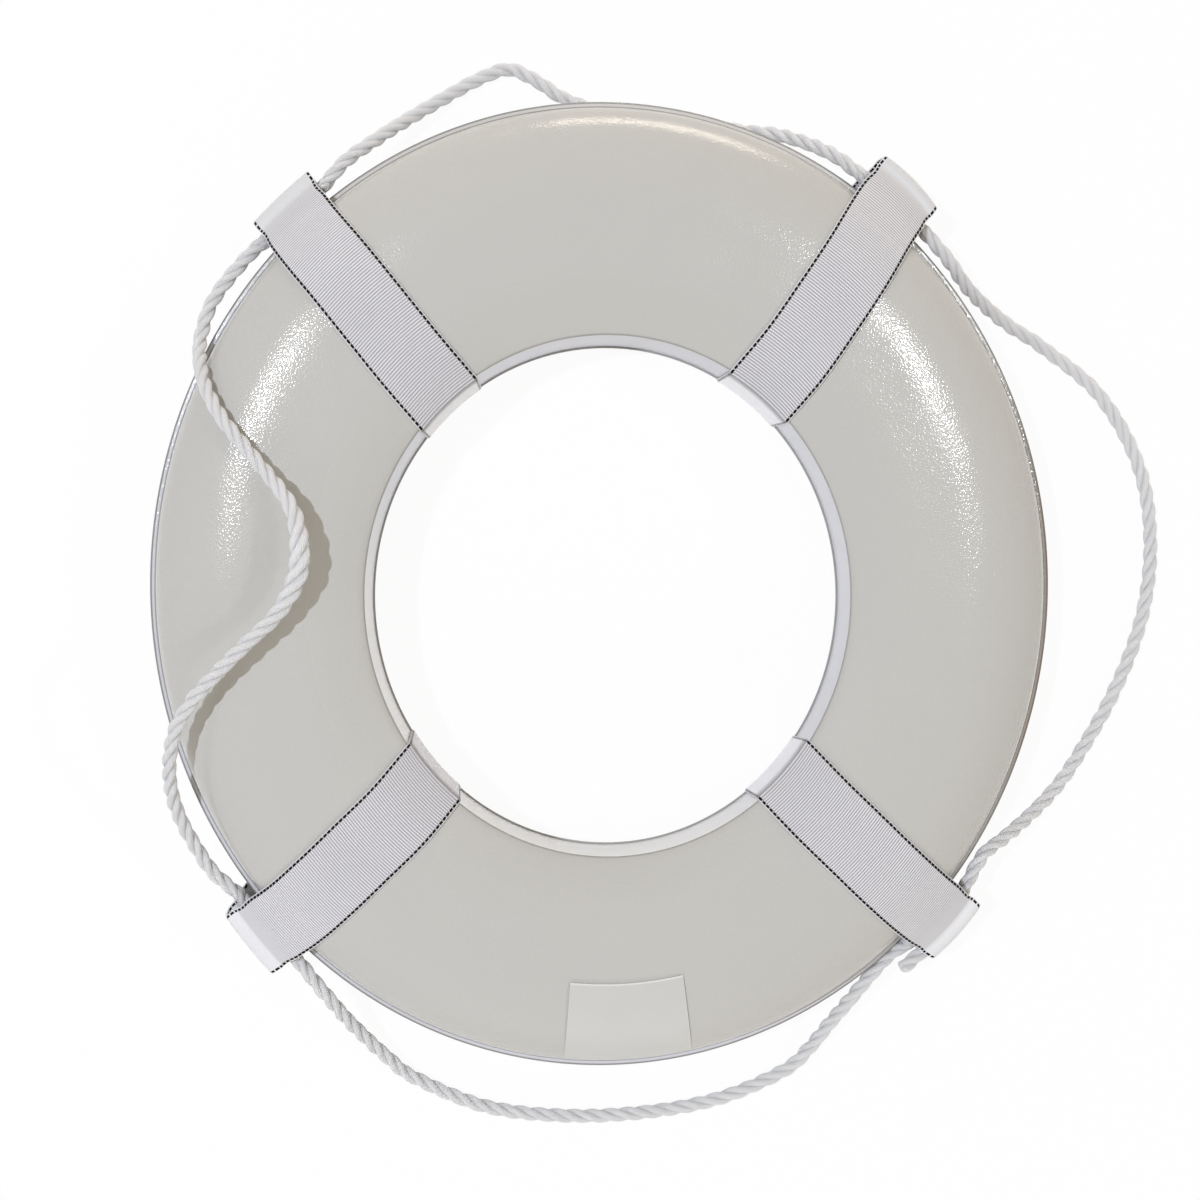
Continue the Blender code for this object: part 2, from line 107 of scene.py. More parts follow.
def dome_section(inner_steps, outer_steps):
    """The front face's section, as (radius, height) from the bore's edge to the rim."""
    points = []
    for step in range(inner_steps + 1):
        run = 1 - step / inner_steps
        radius = CROWN_IN - (CROWN_IN - BORE_R) * run
        points.append(Vector((radius, CROWN_H - (CROWN_H - EDGE_H) * run ** DOME_POWER)))
    for step in range(outer_steps + 1):
        turn = pi / 2 * step / outer_steps
        run = sin(turn) ** (2 / DOME_POWER)
        rise = max(cos(turn), 0) ** (2 / DOME_POWER)
        radius = CROWN_OUT + (SHELL_R - CROWN_OUT) * run
        points.append(Vector((radius, WELT_H + (CROWN_H - WELT_H) * rise)))
    return points


def below(section):
    """The same section on the back face, drawn the other way."""
    return [Vector((point.x, -point.y)) for point in reversed(section)]


print("crown at", on_ring(CROWN_OUT, 0, CROWN_H))

# %% [markdown]
# The camera comes first, because it decides what has to be right. The photograph looks
# straight down on the ring from a bit over a metre, slightly to one side of its middle,
# so a strip of the bore's wall shows all round and is widest at the bottom.

# %% Camera
CAMERA_AT = Vector((-0.0269, -0.0004, 1.345))
AIM = Vector((-0.0007, -0.0102, MIDDLE_Z))
LENS = 59.6

camera_data = bpy.data.cameras.new("straight_down")
camera_data.lens = LENS
camera_data.sensor_width = 36
camera = bpy.data.objects.new("straight_down", camera_data)
scene.collection.objects.link(camera)
ahead = (AIM - CAMERA_AT).normalized()
rightwards = ahead.cross(Vector((0, 1, 0))).normalized()
turn = Matrix((rightwards, rightwards.cross(ahead), -ahead)).transposed()
camera.location = CAMERA_AT
camera.rotation_euler = turn.to_euler()
scene.camera = camera
print("the camera looks down from", round((AIM - CAMERA_AT).length, 3), "m")


# %% Small helpers for modelling by operators
def deselect():
    bpy.ops.object.select_all(action="DESELECT")


def make_active(obj):
    """Select one object alone, ready for an operator."""
    deselect()
    obj.select_set(True)
    bpy.context.view_layer.objects.active = obj


def named(name):
    """Name the piece that an operator has just made."""
    piece = bpy.context.active_object
    piece.name = name
    piece.data.name = name
    return piece


def edit_all(obj, operator, **settings):
    """Run one edit mode operator on a whole mesh."""
    make_active(obj)
    bpy.ops.object.mode_set(mode="EDIT")
    bpy.ops.mesh.select_all(action="SELECT")
    operator(**settings)
    bpy.ops.object.mode_set(mode="OBJECT")


def smooth_by_angle(obj, degrees):
    make_active(obj)
    bpy.ops.object.shade_smooth_by_angle(angle=radians(degrees))


def add_uv(piece, name, pairs):
    """A UV map from one pair of numbers for each vertex."""
    layer = piece.data.uv_layers.new(name=name)
    for loop in piece.data.loops:
        layer.data[loop.index].uv = pairs[loop.vertex_index]


def settle(piece, node, material, body="ring"):
    """Put a finished piece on its body, in the place of its CAD node."""
    piece.data.materials.clear()
    piece.data.materials.append(material)
    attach(piece, body)
    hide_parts(node)
    triangles = sum(len(face.vertices) - 2 for face in piece.data.polygons)
    print(f"{piece.name}: {triangles} triangles on {body}")


# %% [markdown]
# A material is a tree of nodes. A few short functions add them, so that each material can
# be read as a list of what it does: blend these colours by that mask, raise this bump.


# %% Short ways to add nodes
def is_link(value):
    return isinstance(value, bpy.types.NodeSocket)


def plug(socket, value):
    """Feed a socket by a link, or set it to a number, a vector or a colour."""
    if is_link(value):
        socket.id_data.links.new(value, socket)
    else:
        socket.default_value = (*value, 1) if socket.type == "RGBA" else value


def add_node(kind, inputs, output=0, tree=None, **settings):
    """Add a node to the tree that its links come from, and return one of its outputs."""
    tree = tree or next(value for value in inputs.values() if is_link(value)).id_data
    node = tree.nodes.new("ShaderNode" + kind)
    for name, value in settings.items():
        setattr(node, name, value)
    for name, value in inputs.items():
        plug(node.inputs[name], value)
    return node.outputs[output]


def math_node(operation, *values):
    """A Math node whose inputs are links or plain numbers."""
    return add_node("Math", dict(enumerate(values)), operation=operation)


def product(first, second):
    return math_node("MULTIPLY", first, second)


def multiply_add(first, second, third):
    return math_node("MULTIPLY_ADD", first, second, third)


def blend(factor, first, second):
    """A mix of two colours, by a link or a number."""
    return add_node("Mix", {0: factor, 6: first, 7: second}, 2, data_type="RGBA")


def bump(height, distance, strength=1.0):
    return add_node("Bump", {"Height": height, "Distance": distance, "Strength": strength})


def map_range(value, low, high, to_low=0.0, to_high=1.0, soft=False):
    """A value moved from one range to another, and held at its ends."""
    ends = {"Value": value, "From Min": low, "From Max": high, "To Min": to_low, "To Max": to_high}
    return add_node("MapRange", ends, interpolation_type="SMOOTHSTEP" if soft else "LINEAR")


def band_mask(value, low, high, blur):
    """One where a value lies between two others, and none outside them."""
    rise = map_range(value, low - blur, low + blur)
    fall = map_range(value, high + blur, high - blur)
    return product(rise, fall)


def parts(vector):
    """The single numbers of a vector."""
    node = vector.id_data.nodes.new("ShaderNodeSeparateXYZ")
    plug(node.inputs[0], vector)
    return list(node.outputs)


def uv_parts(tree, name):
    """The two numbers of a piece's own UV map."""
    return parts(add_node("UVMap", {}, tree=tree, uv_map=name))[:2]


# %% [markdown]
# Materials share a few effects, so each effect is a node group, built once. Pebble grain
# is what an embossing roller leaves in vinyl: small rounded cells. Mottle is the slow
# change of colour and gloss that any handled surface has. Both give plain values, and the
# shader stays in each material, where it can still be read and changed.


# %% Node groups: pebble grain and mottle
def new_group(name, amount, result):
    """An empty group: a place and an amount go in, and one number comes out."""
    group = bpy.data.node_groups.new(name, "ShaderNodeTree")
    group.interface.new_socket("Vector", in_out="INPUT", socket_type="NodeSocketVector")
    group.interface.new_socket(amount, in_out="INPUT", socket_type="NodeSocketFloat")
    group.interface.new_socket(result, in_out="OUTPUT", socket_type="NodeSocketFloat")
    start = group.nodes.new("NodeGroupInput")
    end = group.nodes.new("NodeGroupOutput")
    return group, start.outputs[0], start.outputs[1], end.inputs[0]


PEBBLE_GRAIN, place, scale, result = new_group("pebble_grain", "Cells per metre", "Height")
spread = {"Vector": place, "Scale": scale, "Smoothness": 0.6}
cells = add_node("TexVoronoi", spread, "Distance", feature="SMOOTH_F1")
wide = {"Vector": place, "Scale": product(scale, 0.45), "Detail": 3}
folds = add_node("TexNoise", wide)
plug(result, multiply_add(folds, 0.3, cells))

MOTTLE, place, scale, result = new_group("mottle", "Patches per metre", "Value")
spread = {"Vector": place, "Scale": scale, "Detail": 4, "Roughness": 0.55}
plug(result, map_range(add_node("TexNoise", spread), 0.2, 0.8))
print("groups:", PEBBLE_GRAIN.name, MOTTLE.name)


# %% A starting point for every material
def use_group(group, place, amount):
    """Place a group in a material, with its own amount."""
    return add_node("Group", {0: place, 1: amount}, node_tree=group)


def mottled(place, patches_per_m, first, second):
    """Two colours that pass slowly into each other over a surface."""
    return blend(use_group(MOTTLE, place, patches_per_m), first, second)


def new_material(name):
    """A Principled material, with its tree and the place on the piece."""
    material = bpy.data.materials.new(name)
    material.use_nodes = True
    tree = material.node_tree
    return material, tree, add_node("TexCoord", {}, "Object", tree)


def feed_shader(tree, values):
    """Feed a material's shader, by the names of its inputs."""
    for name, value in values.items():
        plug(tree.nodes["Principled BSDF"].inputs[name], value)


# %% [markdown]
# The grab line is one length of white three-strand rope, laid loosely round the ring and
# held by the four bands of webbing. Each free stretch between two bands can be lifted, so
# it is a piece of its own. A twisted rope could be three tubes wound round each other, but
# they would cut into each other all along. A single skin whose section is the outline of
# three touching strands, turned as it runs along, has the same look and is one clean tube.

# %% The rope's routes
ROPE_STEP = 0.0014
ROPE_CLEAR = 0.0004
FACE_CLEAR = 0.0007
MOUTH_CLEAR = 0.0025
SIDE_CLEAR = 0.0009
ROPE_DROP = MIDDLE_Z - ROPE_CLEAR - ROPE_RAD
ROPE_RISE = CROWN_H + FACE_CLEAR + ROPE_RAD
MOUTH_AT = WEB_WIDTH / 2 + MOUTH_CLEAR
INNER_ROPE_R = WELT_R + ROPE_CLEAR + ROPE_RAD
OUTER_ROPE_R = INNER_ROPE_R + ROPE_DIA + SIDE_CLEAR

# Azimuth in degrees, distance out of the rim, and the share of the way down to the floor,
# or up over the front face where it is positive. Above 1 the line stands clear of the face
TOP_ROUTE = [
    (122.8, 0.0145, -0.07), (118.3, 0.018, -0.32), (114.2, 0.023, -0.65),
    (108.9, 0.0295, -0.92), (104.6, 0.035, -1), (100.8, 0.037, -1),
    (97.7, 0.0265, -1), (94.8, 0.014, -1), (90.8, 0.005, -1), (85.7, 0, -1),
    (80.6, 0, -1), (75.8, 0.0045, -1), (71.4, 0.0075, -0.95),
    (67.5, 0.0115, -0.75), (63.5, 0.0125, -0.43), (59.4, 0.0115, -0.1),
]
RIGHT_ROUTE = [
    (41.1, 0.01, -0.07), (37.3, 0.0115, -0.32), (33.8, 0.0185, -0.65),
    (30.3, 0.029, -0.9), (26.5, 0.0435, -1), (19.4, 0.0685, -1),
    (11.5, 0.083, -1), (4.1, 0.0845, -1), (-3.3, 0.078, -1),
    (-11.1, 0.0645, -1), (-19.3, 0.049, -0.97), (-23.6, 0.0395, -0.85),
    (-27.5, 0.0275, -0.57), (-30.6, 0.017, -0.27), (-33.4, 0.009, -0.07),
]
BOTTOM_ROUTE = [
    (309.9, 0.004, -0.15), (306.4, 0.0075, -0.27), (302.8, 0.014, -0.45),
    (299.5, 0.022, -0.7), (295.9, 0.032, -0.9), (292.0, 0.0395, -1),
    (283.9, 0.0425, -1), (275.0, 0.0425, -1), (265.7, 0.044, -1),
    (256.6, 0.046, -1), (248.0, 0.0425, -0.97), (244.4, 0.037, -0.85),
    (240.9, 0.03, -0.62), (237.8, 0.0235, -0.35), (235.0, 0.0175, -0.12),
    (232.3, 0.0135, -0.03),
]
LEFT_ROUTE = [
    (214.7, 0.015, 0.02), (211.3, 0.015, 0.12), (207.9, 0.0135, 0.3),
    (204.6, 0.009, 0.56), (201.3, 0.0005, 0.86), (197.7, -0.012, 1.1),
    (195.3, -0.0245, 1.2), (192.8, -0.04, 1.27), (187.6, -0.072, 1.34),
    (184.8, -0.0866, 1.33), (181.2, -0.0978, 1.33), (176.8, -0.1046, 1.35),
    (172.4, -0.1046, 1.35), (168.9, -0.1009, 1.31), (166.2, -0.0952, 1.27),
    (164.0, -0.0855, 1.2), (162.3, -0.074, 1.09), (159.1, -0.048, 0.99),
    (157.7, -0.035, 0.92), (156.1, -0.023, 0.81), (154.8, -0.0145, 0.71),
    (153.3, -0.0065, 0.55), (151.7, 0.0005, 0.34), (150.0, 0.006, 0.19),
    (146.7, 0.012, 0.06), (143.3, 0.013, 0.01), (138.8, 0.0115, 0),
]


def mouth(becket, side, radius=ROPE_R):
    """The middle of the rope where it leaves a band, on one side of the webbing."""
    return beside(radius, BECKETS[becket][0], side * MOUTH_AT, 0)


def on_route(degrees, out, share):
    way = ROPE_RISE if share > 0 else ROPE_DROP
    return on_ring(WELT_R + out, radians(degrees), share * way)


def curve_at(before, first, second, after, t):
    """A smooth curve's value a part t of the way from its first value to its second."""
    return 0.5 * (
        2 * first
        + (second - before) * t
        + (2 * before - 5 * first + 4 * second - after) * t ** 2
        + (3 * first - before - 3 * second + after) * t ** 3
    )


def resample(points, spacing):
    """Evenly spaced points on a line, and its length."""
    runs = [(b - a).length for a, b in zip(points, points[1:])]
    total = sum(runs)
    count = round(total / spacing)
    even, walked, index = [], 0, 0
    for step in range(count + 1):
        target = min(total * step / count, total - 1e-9)
        while walked + runs[index] < target:
            walked += runs[index]
            index += 1
        even.append(points[index].lerp(points[index + 1], (target - walked) / runs[index]))
    return even, total


def with_ends(values):
    """A list with one more value before and after it, in a straight line on."""
    return [2 * values[0] - values[1], *values, 2 * values[-1] - values[-2]]


def smooth_line(points):
    """Evenly spaced points on a smooth curve through a few given ones."""
    ends = with_ends(points)
    fine = []
    for before, first, second, after in zip(ends, ends[1:], ends[2:], ends[3:]):
        fine += [curve_at(before, first, second, after, step / 24) for step in range(24)]
    return resample(fine + [points[-1]], ROPE_STEP)


# %% The rope's section and its finish
ROPE_SIDES = 36
STRAND_R = 0.0025
STRAND_AT = ROPE_RAD - STRAND_R
THIRD = radians(120)
LAY = 0.036
YARNS = 33
UV_RUN = 0.1


def strand_outline(turn):
    """How far the rope's skin lies from its middle, in a direction across it."""
    away = (turn + THIRD / 2) % THIRD - THIRD / 2
    return STRAND_AT * cos(away) + sqrt(STRAND_R ** 2 - (STRAND_AT * sin(away)) ** 2)


# White filament rope: shade painted grey in the grooves between strands, with yarns that run along its
# axis
ROPE_MATERIAL, tree, place = new_material("white_rope")
around, along = uv_parts(tree, "along_rope")
third = math_node("FRACT", product(around, 3))
off_groove = math_node("ABSOLUTE", math_node("SUBTRACT", third, 0.5))
slant = multiply_add(along, -UV_RUN / LAY, around)
yarn = math_node("SINE", product(slant, tau * YARNS))
fibre = use_group(MOTTLE, place, 700)
height = multiply_add(fibre, 1.2, product(yarn, 0.5))
tone = mottled(place, 60, (0.8, 0.8, 0.81), (0.87, 0.87, 0.88))
tone = blend(product(fibre, 0.5), tone, (0.92, 0.92, 0.92))
# Painted shade: grey in the grooves between the strands
groove_shade = map_range(off_groove, 0.13, 0.02, soft=True)
tone = blend(product(groove_shade, 0.14), tone, (0.4, 0.39, 0.4))
feed_shader(tree, {
    "Base Color": tone, "Roughness": 0.55, "Normal": bump(height, 0.00045),
    "Subsurface Weight": 0.6, "Subsurface Radius": (1, 1, 1), "Subsurface Scale": 0.003,
})
print("strand radius", STRAND_R, "lay", LAY)


# %% [markdown]
# The skin is swept by hand-written mesh code, because the section has to turn evenly and
# meet the next piece's section at each band. Its turn is a whole number of thirds from end
# to end, so that neighbouring pieces line up, and each end is closed by a half ball that
# hides in its neighbour and keeps the joint full when the stretch is lifted. The strands
# climb to the right as they go away from you, which is the usual right-hand lay.


# %% Sweep a twisted rope
# A rope's size along its run: nearly full, with a slow swell
FULLNESS = 0.98
SWELL = 0.018
SWELLS_PER_M = 55
# Where the rings of a half ball lie, as angles from its base
BALL_DEGREES = (20, 40, 60, 78)


def rope_frame(points, index):
    """The rope's direction at a point, and the two directions across it."""
    onward = points[min(index + 1, len(points) - 1)] - points[max(index - 1, 0)]
    onward.normalize()
    across = onward.cross(Vector((0, 0, 1))).normalized()
    return onward, across, across.cross(onward)


def rope_stations(points, last_reach, opened):
    """Each ring of the skin: its place, frame, distance along and size."""
    stations = []
    walked = 0
    for index, point in enumerate(points):
        if index:
            walked += (point - points[index - 1]).length
        size = FULLNESS + SWELL * noise.noise(point * SWELLS_PER_M)
        for middle, reach, growth in opened:
            size += growth * exp(-(((point - middle).length / reach) ** 2))
        stations.append((point, *rope_frame(points, index), walked, size))
    first, last = stations[0], stations[-1]
    for degrees in BALL_DEGREES:
        reach, size = sin(radians(degrees)), cos(radians(degrees))
        blunt = size ** 0.5 if last_reach < 1 else size
        before = first[0] - first[1] * ROPE_RAD * reach
        beyond = last[0] + last[1] * ROPE_RAD * reach * last_reach
        stations.insert(0, (before, *first[1:4], 0, size * first[5]))
        stations.append((beyond, *last[1:4], walked, blunt * last[5]))
    return stations


def twisted_rope(name, points, total, last_reach=1.0, opened=()):
    """One length of three-strand rope along a line of points."""
    turn_per_m = THIRD * max(round(total / LAY * 3), 1) / total
    stations = rope_stations(points, last_reach, opened)
    vertices, faces, uvs = [], [], []
    for point, _, across, upward, run, size in stations:
        for side in range(ROPE_SIDES):
            angle = tau * side / ROPE_SIDES
            spoke = strand_outline(angle) * size
            world = angle - turn_per_m * run
            vertices.append(point + (across * cos(world) + upward * sin(world)) * spoke)
    rings = len(stations)
    for ring in range(rings - 1):
        low, high = stations[ring][4] / UV_RUN, stations[ring + 1][4] / UV_RUN
        for side in range(ROPE_SIDES):
            a, b = ring * ROPE_SIDES + side, ring * ROPE_SIDES + (side + 1) % ROPE_SIDES
            faces.append((a, b, b + ROPE_SIDES, a + ROPE_SIDES))
            left, right = side / ROPE_SIDES, (side + 1) / ROPE_SIDES
            uvs += [left, low, right, low, right, high, left, high]
    for ring in (0, rings - 1):
        centre = len(vertices)
        vertices.append(stations[ring][0])
        for side in range(ROPE_SIDES):
            a, b = ring * ROPE_SIDES + side, ring * ROPE_SIDES + (side + 1) % ROPE_SIDES
            faces.append((a, b, centre) if ring else (b, a, centre))
            uvs += [0] * 6
    mesh = bpy.data.meshes.new(name)
    mesh.from_pydata(vertices, [], faces)
    mesh.uv_layers.new(name="along_rope").data.foreach_set("uv", uvs)
    rope = bpy.data.objects.new(name, mesh)
    scene.collection.objects.link(rope)
    edit_all(rope, bpy.ops.mesh.normals_make_consistent, inside=False)
    smooth_by_angle(rope, 50)
    return rope


# %% The four free stretches
STRETCHES = {
    "top": ("top_stretch", mouth("top_left", -1), TOP_ROUTE, mouth("top_right", 1)),
    "right": ("right_stretch", mouth("top_right", -1), RIGHT_ROUTE, mouth("bottom_right", 1)),
    "bottom": (
        "bottom_stretch", mouth("bottom_right", -1, INNER_ROPE_R), BOTTOM_ROUTE,
        mouth("bottom_left", 1),
    ),
    "left": ("ring", mouth("bottom_left", -1), LEFT_ROUTE, mouth("top_left", 1)),
}
# Where the left stretch turns hardest, its strands have opened a little
OPENED = {"left": [(on_route(175.0, -0.105, 1.35), 0.03, 0.4)]}
for place, (body, begin, route, finish) in STRETCHES.items():
    line, total = smooth_line([begin] + [on_route(*spot) for spot in route] + [finish])
    stretch = twisted_rope("rope_" + place, line, total, opened=OPENED.get(place, ()))
    settle(stretch, "grab_line_" + place, ROPE_MATERIAL, body)
    print(f"{place} stretch: {total:.3f} m")

# %% [markdown]
# Inside each band the line runs straight through. In the bottom right band it has both its
# ends: the start of the bottom stretch, and beside it the last few centimetres, whose cut
# end was sealed with heat and looks out past the webbing.

# %% The rope inside the bands, and its sealed end
STUB_REACH = 0.0165
TAIL_PLACES = (-MOUTH_AT, -0.016, -0.009)


def inside_band(name, becket, line, last_reach=1.0):
    """Rope held in a band, by its sideways places, radii and heights."""
    degrees = BECKETS[becket][0]
    spots = [beside(radius, degrees, sideways, height) for sideways, radius, height in line]
    points, total = smooth_line(spots)
    piece = twisted_rope("rope_in_" + name, points, total, last_reach)
    settle(piece, "held_rope_" + name, ROPE_MATERIAL)
    return points, total, piece


for becket in ("top_left", "top_right", "bottom_left"):
    inside_band(becket, becket, [(s * MOUTH_AT, ROPE_R, 0) for s in (-1, -0.5, 0.5, 1)])
inside_band("tail", "bottom_right", [(sideways, INNER_ROPE_R, 0) for sideways in TAIL_PLACES])
THROUGH = [
    (MOUTH_AT, ROPE_R, 0), (MOUTH_AT / 2, ROPE_R + 0.0028, 0), (0.003, OUTER_ROPE_R, 0),
    (-WEB_WIDTH / 2, OUTER_ROPE_R, 0.0006),
    (-WEB_WIDTH / 2 - STUB_REACH, OUTER_ROPE_R - 0.002, 0.005),
]
end_points, end_total, end_piece = inside_band("bottom_right", "bottom_right", THROUGH, 0.35)
print("sealed end piece:", round(end_total, 4), "m")

# %% [markdown]
# The cover is vinyl sheet: a front and a back piece, welded together at the rim, and a
# smooth band that lines the bore. A turned piece like this is quickest as one section,
# drawn by extruding a single vertex point by point and then spun round the axis. The spun
# ring is then moved to its real, slightly oval place, and given the sheet's thickness.

# %% Spin a section
ROUND_STEPS = 288


def spun(name, section):
    """Extrude one vertex along a section and spin it round the axis."""
    deselect()
    bpy.ops.mesh.primitive_plane_add(size=0.01)
    piece = named(name)
    bpy.ops.object.mode_set(mode="EDIT")
    bpy.ops.mesh.select_mode(type="VERT")
    bpy.ops.mesh.select_all(action="SELECT")
    bpy.ops.mesh.merge(type="CENTER")
    bpy.ops.transform.translate(value=(section[0].x, 0, section[0].y))
    for first, second in zip(section, section[1:]):
        step = (second.x - first.x, 0, second.y - first.y)
        bpy.ops.mesh.extrude_region_move(TRANSFORM_OT_translate={"value": step})
    bpy.ops.mesh.select_all(action="SELECT")
    bpy.ops.mesh.spin(steps=ROUND_STEPS, angle=tau, center=(0, 0, 0), axis=(0, 0, 1))
    bpy.ops.mesh.select_all(action="SELECT")
    bpy.ops.mesh.remove_doubles(threshold=0.00002)
    bpy.ops.object.mode_set(mode="OBJECT")
    return piece


def face_outwards(piece, way):
    """Turn all normals over if the first face doesn't look the given way."""
    first = piece.data.polygons[0]
    if first.normal.dot(way(first.center)) < 0:
        edit_all(piece, bpy.ops.mesh.flip_normals)


def fit_to_ring(piece, relief):
    """Move a spun piece's points to their places on the real ring."""
    for vertex in piece.data.vertices:
        radius = hypot(vertex.co.x, vertex.co.y)
        azimuth = atan2(vertex.co.y, vertex.co.x)
        height = vertex.co.z + (relief(radius, azimuth) if relief else 0)
        vertex.co = on_ring(radius, azimuth, height)


def thicken(piece, thickness, degrees=40):
    """Give a sheet its thickness, inwards from the face it was drawn by, and smooth it."""
    solidify = piece.modifiers.new("sheet", "SOLIDIFY")
    solidify.thickness = thickness
    solidify.offset = -1
    solidify.use_even_offset = True
    make_active(piece)
    bpy.ops.object.modifier_apply(modifier=solidify.name)
    smooth_by_angle(piece, degrees)


def ring_sheet(name, section, way, relief=None):
    """A sheet that goes round the ring, with its plain radius and height as its UV map."""
    piece = spun(name, section)
    face_outwards(piece, way)
    add_uv(piece, "round_ring", [(hypot(v.co.x, v.co.y), v.co.z) for v in piece.data.vertices])
    fit_to_ring(piece, relief)
    thicken(piece, SHEET)
    return piece


# %% The cover's section, with a rounded lip and a pressed welt
LIP_ROUND = 0.0014
LIP_PARTS = ((0, 1), (0.13, 0.5), (0.5, 0.1))
# The welt's section: how far in from the rim, and how far under its flat top
WELT_PARTS = ((0.65 * WELT_WIDTH, 0.00005), (0.0006, 0), (0.0002, 0.00015), (0, 0.0005))

lip = [Vector((BORE_R, EDGE_H - LIP_H))]
rounded = [Vector((BORE_R + LIP_ROUND * out, EDGE_H - LIP_ROUND * down)) for out, down in LIP_PARTS]
face = dome_section(22, 44)
face = [point for point in face if point.x > BORE_R + LIP_ROUND * 0.9 or point.y > EDGE_H + 0.001]
crown = next(index for index, point in enumerate(face) if point.x > CROWN_OUT - 0.00001)
flat = [face[crown - 1].lerp(face[crown], step / 8) for step in range(1, 8)]
welt = [Vector((WELT_R - inwards, WELT_H - down)) for inwards, down in WELT_PARTS]
section = lip + rounded + face[:crown] + flat + face[crown:] + welt

# Soft hollows in the face: azimuth, radius, how wide and how deep
DENTS = (
    (102.0, 0.292, 0.009, 0.001), (139.5, 0.294, 0.006, 0.0006), (212.0, 0.19, 0.02, 0.0006),
    (345.0, 0.2, 0.018, 0.0005), (24.0, 0.286, 0.012, 0.0004),
)
# The relief fades out over these lengths, by the bore and by the welt
FADE_IN, FADE_OUT = 0.012, 0.02


def cover_relief(radius, azimuth):
    """The foam's slow swell under the sheet, and a few dents."""
    place = Vector((radius * cos(azimuth), radius * sin(azimuth), 0))
    span = held((radius - BORE_R) / FADE_IN) * held((WELT_R - 0.004 - radius) / FADE_OUT)
    swell = 0.0004 * (noise.noise(place * 14) - 1.1) + 0.0001 * noise.noise(place * 40)
    depth = 0
    for degrees, at, wide, deep in DENTS:
        across = (azimuth - radians(degrees) + pi) % tau - pi
        away = hypot(radius - at, at * across)
        depth += deep * exp(-((away / wide) ** 2))
    return span * min(swell - depth, 0.0)


front = ring_sheet("front_cover", section, lambda place: Vector((0, 0, 1)), cover_relief)
print("front cover:", len(section), "points in its section")


# %% [markdown]
# Pebble grain vinyl is semi-gloss: a tight sheen over the dome, broken into sparkle where
# a lamp mirrors in it. The rim is two sheets welded flat. Its lines are painted into the
# colour: painted shade in the groove where the dome meets it, a flat strip made lighter
# partly by painted light, and a cut edge painted dark as shade. On the right the strip,
# the groove line, the edge and the dome's foot are painted darker and browner, as shade,
# and at the top the strip and the groove line are painted warmer, as warm light.
# The material reads the radius from the piece's own UV map to draw these lines.


# %% Vinyl materials
GRAIN_DEPTH = 0.00012
CREASE_PITCH = 0.0022
# Patches of fine creases in the sheet: middle, reach, and the way they run in degrees
CREASES = (((-0.168, -0.058, 0.08), 0.034, 75), ((0.16, -0.036, 0.08), 0.032, 100))
# Towards the bore the sheet grows duller, from the first of these distances to the second
DULL_FROM, DULL_TO = 0.052, 0.022


def turned_to(place, degrees, low, high):
    """A mask of the part of the ring that lies towards an azimuth."""
    x, y, _ = parts(place)
    far = math_node("SQRT", multiply_add(x, x, product(y, y)))
    angle = radians(degrees)
    ahead_part = multiply_add(x, cos(angle), product(y, sin(angle)))
    return map_range(math_node("DIVIDE", ahead_part, far), low, high, soft=True)


def rim_lines(tone, place, radius):
    """Paint the welded rim: groove shade, a lighter strip, a dark edge, shade on the right, warm light
    at the top.
    """
    # Masks for the right side and the top, where shade and warm light are painted
    right = turned_to(place, 3, 0.7, 0.95)
    top = turned_to(place, 92, 0.55, 0.85)
    right_edge_shade = turned_to(place, 355, 0.92, 0.985)
    # The flat strip: lighter, partly as painted light, painted warmer at the top and darker on the right
    strip = blend(top, (0.62, 0.615, 0.65), (0.63, 0.61, 0.58))
    strip = blend(right, strip, (0.52, 0.49, 0.47))
    # The cut edge, painted dark as shade, browner on the right
    edge = blend(right_edge_shade, (0.26, 0.26, 0.25), (0.22, 0.17, 0.13))
    # The groove line, painted as shade: darkest on the right, warmer at the top
    line = blend(right, (0.27, 0.265, 0.27), (0.08, 0.06, 0.045))
    line = blend(top, line, (0.3, 0.28, 0.26))
    groove_shade = band_mask(radius, SHELL_R, SHELL_R + 0.0015, 0.0002)
    # Painted shade on the dome's foot, on the right
    right_flank_shade = product(right, map_range(radius, SHELL_R - 0.0035, SHELL_R))
    right_flank_shade = product(right_flank_shade, map_range(radius, SHELL_R + 0.0004, SHELL_R))
    tone = blend(map_range(radius, SHELL_R + 0.0001, SHELL_R + 0.0006), tone, strip)
    tone = blend(product(right_flank_shade, 0.7), tone, (0.2, 0.17, 0.14))
    tone = blend(groove_shade, tone, line)
    return blend(map_range(radius, WELT_R - 0.0009, WELT_R - 0.0005), tone, edge)


def fine_creases(place, spot, reach, degrees):
    """Small parallel creases round one spot, for a bump: none away from it."""
    away = add_node("VectorMath", {0: place, 1: spot}, "Value", operation="DISTANCE")
    mask = map_range(away, reach, reach * 0.3, soft=True)
    along = 0.18 / CREASE_PITCH
    turned = {
        "Vector": place, "Rotation": (0, 0, radians(degrees)),
        "Scale": (1 / CREASE_PITCH, along, along),
    }
    waves = {"Vector": add_node("Mapping", turned), "Scale": 0.5, "Detail": 2}
    return product(add_node("TexNoise", waves), mask)


